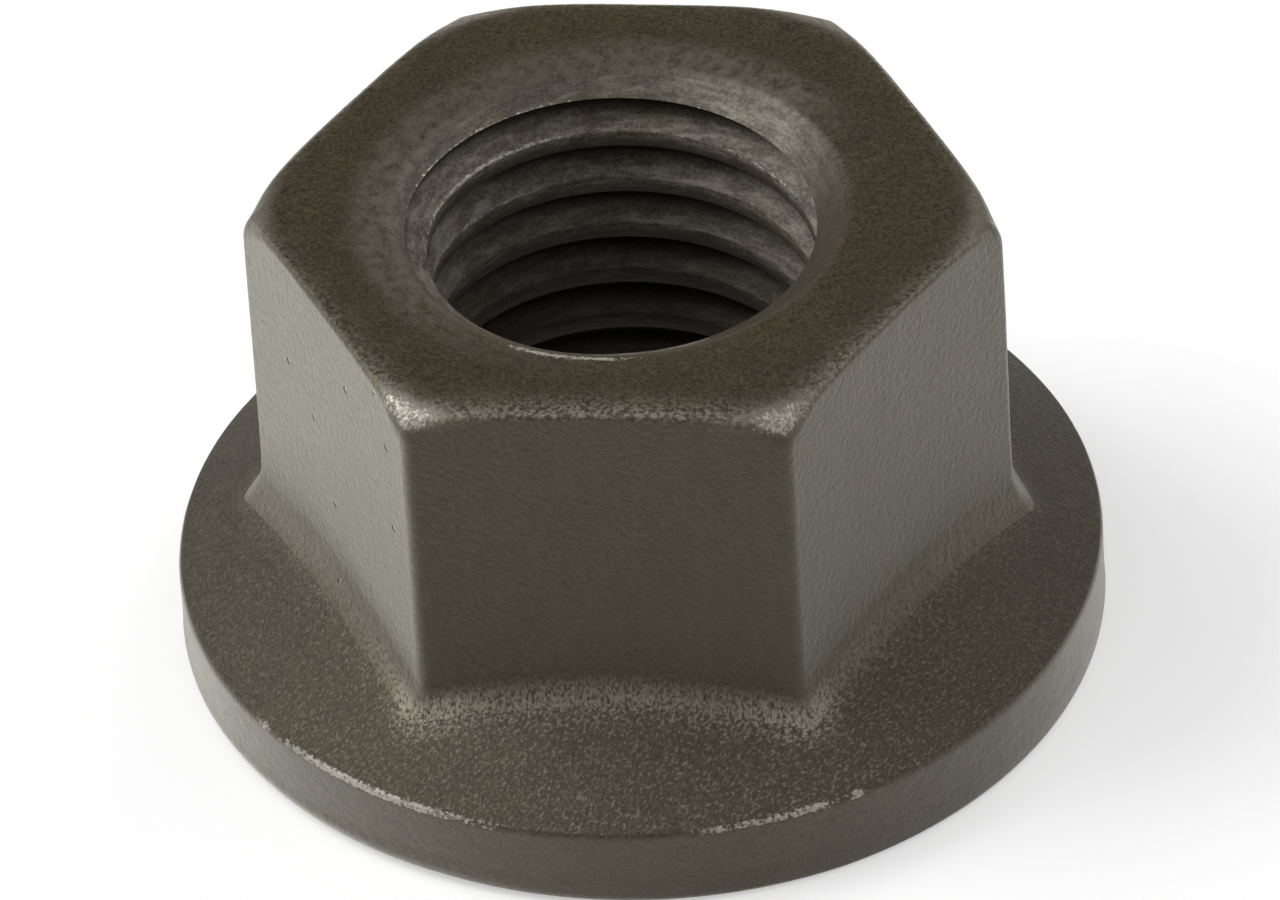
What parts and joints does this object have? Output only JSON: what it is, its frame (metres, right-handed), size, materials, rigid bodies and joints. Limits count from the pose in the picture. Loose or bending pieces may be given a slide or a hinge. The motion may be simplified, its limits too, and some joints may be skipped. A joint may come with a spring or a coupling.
{
  "type": "serrated flange nut",
  "caption": "Tall hexagon nut forged in one piece with a conical flange; coarse right-hand internal thread; radial serrations in the bearing face.",
  "frame": {"origin": "on the thread axis, in the plane of the bearing face under the flange", "axes": "+Z along the thread axis from the bearing face to the crown; one flat of the hexagon faces -Y, two corners lie on +X and -X"},
  "size_m": [0.0404, 0.0404, 0.0222],
  "materials": {
    "phosphated_steel": "dark phosphate coat, satin, worn bright at the corners"
  },
  "bodies": {
    "root": {"flange_nut": "phosphated_steel"}
  },
  "joints": []
}
